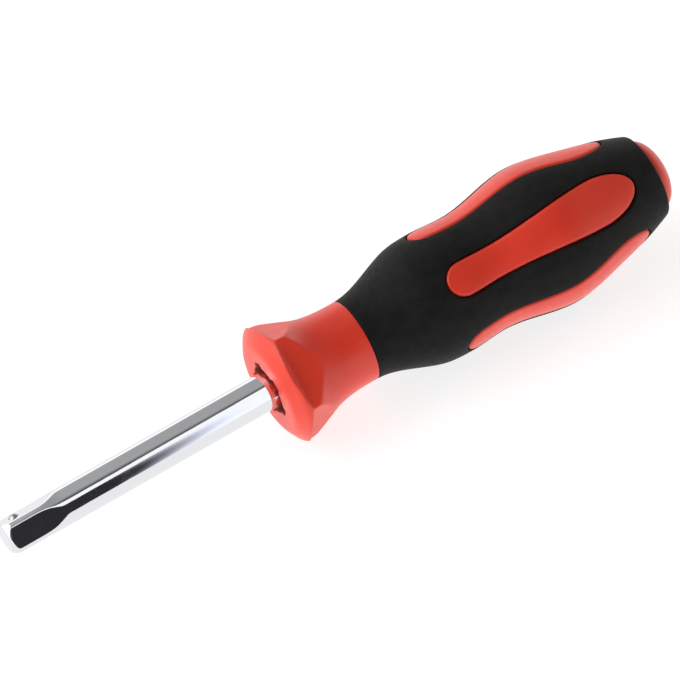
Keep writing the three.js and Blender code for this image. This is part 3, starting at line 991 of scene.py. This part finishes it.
def spring_tree():
    """The tree that winds a spring and puts it in its place."""
    tree, given, result = tree_of("wound_spring", [
        ("Geometry", "NodeSocketGeometry"), ("Turns", "NodeSocketFloat"), ("Coil Radius", "NodeSocketFloat"),
        ("Height", "NodeSocketFloat"), ("Wire Radius", "NodeSocketFloat"), ("Place", "NodeSocketVector"),
        ("Turn", "NodeSocketVector"), ("Material", "NodeSocketMaterial")])
    spiral, section, tube, place, real, paint = (tree.nodes.new(kind) for kind in (
        "GeometryNodeCurveSpiral", "GeometryNodeCurvePrimitiveCircle", "GeometryNodeCurveToMesh",
        "GeometryNodeTransform", "GeometryNodeRealizeInstances", "GeometryNodeSetMaterial"))
    spiral.inputs["Resolution"].default_value = TURN_STEPS
    section.inputs["Resolution"].default_value = WIRE_STEPS
    tube.inputs["Fill Caps"].default_value = True
    join(
        tree, (given.outputs["Turns"], spiral.inputs["Rotations"]),
        (given.outputs["Coil Radius"], spiral.inputs["Start Radius"]),
        (given.outputs["Coil Radius"], spiral.inputs["End Radius"]),
        (given.outputs["Height"], spiral.inputs["Height"]),
        (given.outputs["Wire Radius"], section.inputs["Radius"]), (spiral.outputs[0], tube.inputs["Curve"]),
        (section.outputs[0], tube.inputs["Profile Curve"]), (tube.outputs[0], place.inputs["Geometry"]),
        (given.outputs["Place"], place.inputs["Translation"]),
        (given.outputs["Turn"], place.inputs["Rotation"]),
        (place.outputs[0], real.inputs[0]), (real.outputs[0], paint.inputs["Geometry"]),
        (given.outputs["Material"], paint.inputs["Material"]), (paint.outputs[0], result.inputs[0]))
    return tree


spring_low = hole_floor + SPRING_END_GAP + WIRE
spring_high = ball_height - BALL - SPRING_END_GAP - WIRE
spring = new_piece("wound_spring", bpy.data.meshes.new("wound_spring"))
grow(spring, spring_tree(), {
    "Turns": SPRING_TURNS, "Coil Radius": (hole_radius - SPRING_SIDE_GAP - WIRE) * MM,
    "Height": (spring_high - spring_low) * MM, "Wire Radius": WIRE * MM,
    "Place": (BALL_SETBACK * MM, *(ball_out[1:] * spring_low * MM)),
    "Turn": (BALL_TURN, 0, 0), "Material": spring_steel})
settle(spring)
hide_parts("detent_spring")
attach(spring, "handle")
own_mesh(spring)

# %% [markdown]
# ## The hidden core
# The first shot of plastic round the tang never shows, so its CAD node stays as it is. It still gets a
# finish of its own, a dull dark red with a coarse grain.

# %% Core finish
CORE = {
    "colours": ((0.21, 0.018, 0.011), (0.27, 0.025, 0.016)), "clouds": 200, "detail": 3,
    "patches": 900, "roughness": (0.5, 0.65), "grains": 3000, "depth": 0.00003, "strength": 0.3, "shine": {}}

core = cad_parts["inner_core"]
core.data.materials.clear()
core.data.materials.append(plastic("core_red", **CORE))
print("kept node:", core.name)

# %% [markdown]
# ## The bench
# Laid down, the tool rests on its belly and on the lip of its collar, so in the tool's own frame the bench
# is a plane that falls a little towards the butt. Round the tool it is a white sheet lit softly from below,
# as on a light table, so the tool's shadow stays but is faint. The camera sees it a touch brighter, and matt
# surfaces get more light from it, which lifts the tool's underside. Reflections show it as plain white, and
# further out it fades into plain white.

# %% Floor
FLOOR_RADIUS = 1.2
FLOOR_COLOUR = (0.38, 0.38, 0.38)
FLOOR_GLOW = 0.76
FLOOR_LIFT = 0.04
FLOOR_BOUNCE = 0.45
FLOOR_FADE = (0.22, 0.60)
FLOOR_SIDES = 96


def floor_material():
    """White card with a glow from below, and plain white far out and in reflections."""
    material, tree, shader = new_finish("bench_white")
    tree.nodes.remove(shader)
    card = tree.nodes.new("ShaderNodeBsdfDiffuse")
    card.inputs["Color"].default_value = (*FLOOR_COLOUR, 1)
    light = tree.nodes.new("ShaderNodeLightPath")
    lift = maths(tree, "MULTIPLY", light.outputs["Is Camera Ray"], FLOOR_LIFT)
    bounce = maths(tree, "MULTIPLY", light.outputs["Is Diffuse Ray"], FLOOR_BOUNCE)
    glow = tree.nodes.new("ShaderNodeEmission")
    extra = maths(tree, "ADD", lift, bounce)
    tree.links.new(maths(tree, "ADD", extra, FLOOR_GLOW), glow.inputs["Strength"])
    near = tree.nodes.new("ShaderNodeAddShader")
    join(tree, (card.outputs[0], near.inputs[0]), (glow.outputs[0], near.inputs[1]))
    far = tree.nodes.new("ShaderNodeEmission")
    both = tree.nodes.new("ShaderNodeMixShader")
    outer = fade(tree, distance_from(tree, (AIM.x, 0, 0)), (FLOOR_FADE[0], 0), (FLOOR_FADE[1], 1))
    tree.links.new(maths(tree, "MAXIMUM", outer, light.outputs["Is Glossy Ray"]), both.inputs["Fac"])
    join(tree, (near.outputs[0], both.inputs[1]), (far.outputs[0], both.inputs[2]),
         (both.outputs[0], tree.nodes["Material Output"].inputs["Surface"]))
    return material


def bench():
    """A round plane that touches the collar's lip and the belly."""
    along = np.linspace(SLEEVE_AT, RIM_AT, OUTLINE_SAMPLES)
    lowest = -skin_radius(along)
    slope = ((lowest + LIP_APOTHEM) / (along - lip_at)).min()
    turns = np.arange(FLOOR_SIDES) * 2 * math.pi / FLOOR_SIDES
    x = FLOOR_RADIUS * np.cos(turns) + AIM.x
    y = FLOOR_RADIUS * np.sin(turns)
    z = -LIP_APOTHEM * MM + slope * (x - lip_at * MM)
    mesh = bpy.data.meshes.new("bench")
    mesh.from_pydata(np.stack([x, y, z], axis=-1).tolist(), [], [list(range(len(turns)))])
    print("bench falls by", round(math.degrees(math.atan(-slope)), 2), "degrees towards the butt")
    return new_piece("bench", mesh, floor_material())


bench()

# %% [markdown]
# ## Studio light
# The tool lies in a white tent that is open in front, where the photographer stands. So light comes from all
# round, most of it from the left, and surfaces that face the camera are the darkest. The tent is the world:
# a white wall at the horizon, and above it a side to side change with a gloomy round opening. One soft box
# lights the tool from the left. Two more shine on the chrome alone and give it its bright bands.

# %% Tent and soft boxes
WALL_TOP, TENT_FROM = 0.10, 0.32
WALL = 1.40
LEFT_TENT = (-0.45, 2.00)
RIGHT_TENT = (0.35, 0.34)
OPENING_EDGE = (math.cos(math.radians(54)), 1.0)
OPENING_INSIDE = (math.cos(math.radians(36)), 0.15)
LEFT_BOX = {"centre": (-0.55, 0.10, 0.70), "aim": (0.07, 0, 0), "wide": 0.8, "high": 0.6, "brightness": 1.5}
LINE_BOX = {"centre": (0.20, -0.345, 0.58), "aim": (0.03, 0, 0), "wide": 0.5, "high": 0.4, "brightness": 1.1}
LOW_BOX = {"centre": (0.30, -0.62, 0.27), "aim": (0.07, 0, 0), "wide": 0.6, "high": 0.56, "brightness": 1.1}


def studio_world():
    """The tent as a world whose brightness changes with direction."""
    world = bpy.data.worlds.new("studio")
    bpy.context.scene.world = world
    world.use_nodes = True
    tree = world.node_tree
    way = tree.nodes.new("ShaderNodeTexCoord").outputs["Generated"]
    split = tree.nodes.new("ShaderNodeSeparateXYZ")
    tree.links.new(way, split.inputs[0])
    towards = tree.nodes.new("ShaderNodeVectorMath")
    towards.operation = "DOT_PRODUCT"
    towards.inputs[1].default_value = to_camera
    tree.links.new(way, towards.inputs[0])
    side = fade(tree, split.outputs["X"], LEFT_TENT, RIGHT_TENT)
    opening = fade(tree, towards.outputs["Value"], OPENING_EDGE, OPENING_INSIDE)
    tent = maths(tree, "MULTIPLY", side, opening)
    height = fade(tree, split.outputs["Z"], (WALL_TOP, 0), (TENT_FROM, 1))
    change = maths(tree, "MULTIPLY", maths(tree, "SUBTRACT", tent, WALL), height)
    background = tree.nodes["Background"]
    background.inputs["Color"].default_value = (1, 1, 1, 1)
    tree.links.new(maths(tree, "ADD", change, WALL), background.inputs["Strength"])


def soft_box(name, centre, aim, wide, high, brightness):
    """A rectangular lamp of a brightness, where 1 is as bright as lit white paper."""
    lamp = bpy.data.lights.new(name, "AREA")
    lamp.shape = "RECTANGLE"
    lamp.size = wide
    lamp.size_y = high
    lamp.energy = brightness * math.pi * wide * high
    box = bpy.data.objects.new(name, lamp)
    bpy.context.scene.collection.objects.link(box)
    way = Vector(aim) - Vector(centre)
    box.matrix_world = Matrix.Translation(centre) @ way.to_track_quat("-Z", "Y").to_matrix().to_4x4()
    box.visible_camera = False
    return box


def shine_only_on(box, pieces):
    """Keeps a lamp off all but these pieces, as a flag in front of it would."""
    lit = bpy.data.collections.new("lit_by_" + box.name)
    for piece in pieces:
        lit.objects.link(piece)
    box.light_linking.receiver_collection = lit


studio_world()
soft_box("left_box", **LEFT_BOX)
for name, setting in (("line_box", LINE_BOX), ("low_box", LOW_BOX)):
    shine_only_on(soft_box(name, **setting), (shank, ball))
print("lamps:", [lamp.name for lamp in bpy.data.lights])

# %% [markdown]
# ## A dark card
# Chrome only looks like chrome with something dark to show. So a wide dark card stands in front of the tool,
# as in a real studio. The camera doesn't see it and no matt surface is lit by it. It fades to pale along a
# slant, and with it the dark band on the bar fades towards the collar.

# %% Card
CARD_LEFT, CARD_RIGHT = -0.080, 0.155
CARD_FADE = (0.074, 0.102)
CARD_SLANT = 0.13
CARD_AWAY = -0.22
CARD_HEIGHT = 0.34
CARD_DARK = (0.022, 0.0215, 0.025)
CARD_PALE = (0.86, 0.89, 1.00)
CARD_ROUGHNESS = 0.9


def dark_card():
    """An upright card whose paint goes from dark to pale."""
    corners = [(CARD_LEFT, CARD_AWAY, 0), (CARD_RIGHT, CARD_AWAY, 0),
               (CARD_RIGHT, CARD_AWAY, CARD_HEIGHT), (CARD_LEFT, CARD_AWAY, CARD_HEIGHT)]
    mesh = bpy.data.meshes.new("dark_card")
    mesh.from_pydata(corners, [], [(0, 1, 2, 3)])
    material, tree, shader = new_finish("card_paint")
    shader.inputs["Roughness"].default_value = CARD_ROUGHNESS
    shader.inputs["Specular IOR Level"].default_value = 0.0
    place = tree.nodes.new("ShaderNodeTexCoord")
    split = tree.nodes.new("ShaderNodeSeparateXYZ")
    tree.links.new(place.outputs["Object"], split.inputs[0])
    lean = maths(tree, "MULTIPLY", split.outputs["Z"], CARD_SLANT)
    slanted = maths(tree, "SUBTRACT", split.outputs["X"], lean)
    pale = fade(tree, slanted, (CARD_FADE[0], 0), (CARD_FADE[1], 1))
    tree.links.new(tint(tree, pale, CARD_DARK, CARD_PALE), shader.inputs["Base Color"])
    card = new_piece("dark_card", mesh, material)
    card.visible_camera = False
    card.visible_diffuse = False
    return card


dark_card()
print("card is", round((CARD_RIGHT - CARD_LEFT) / MM), "mm wide")
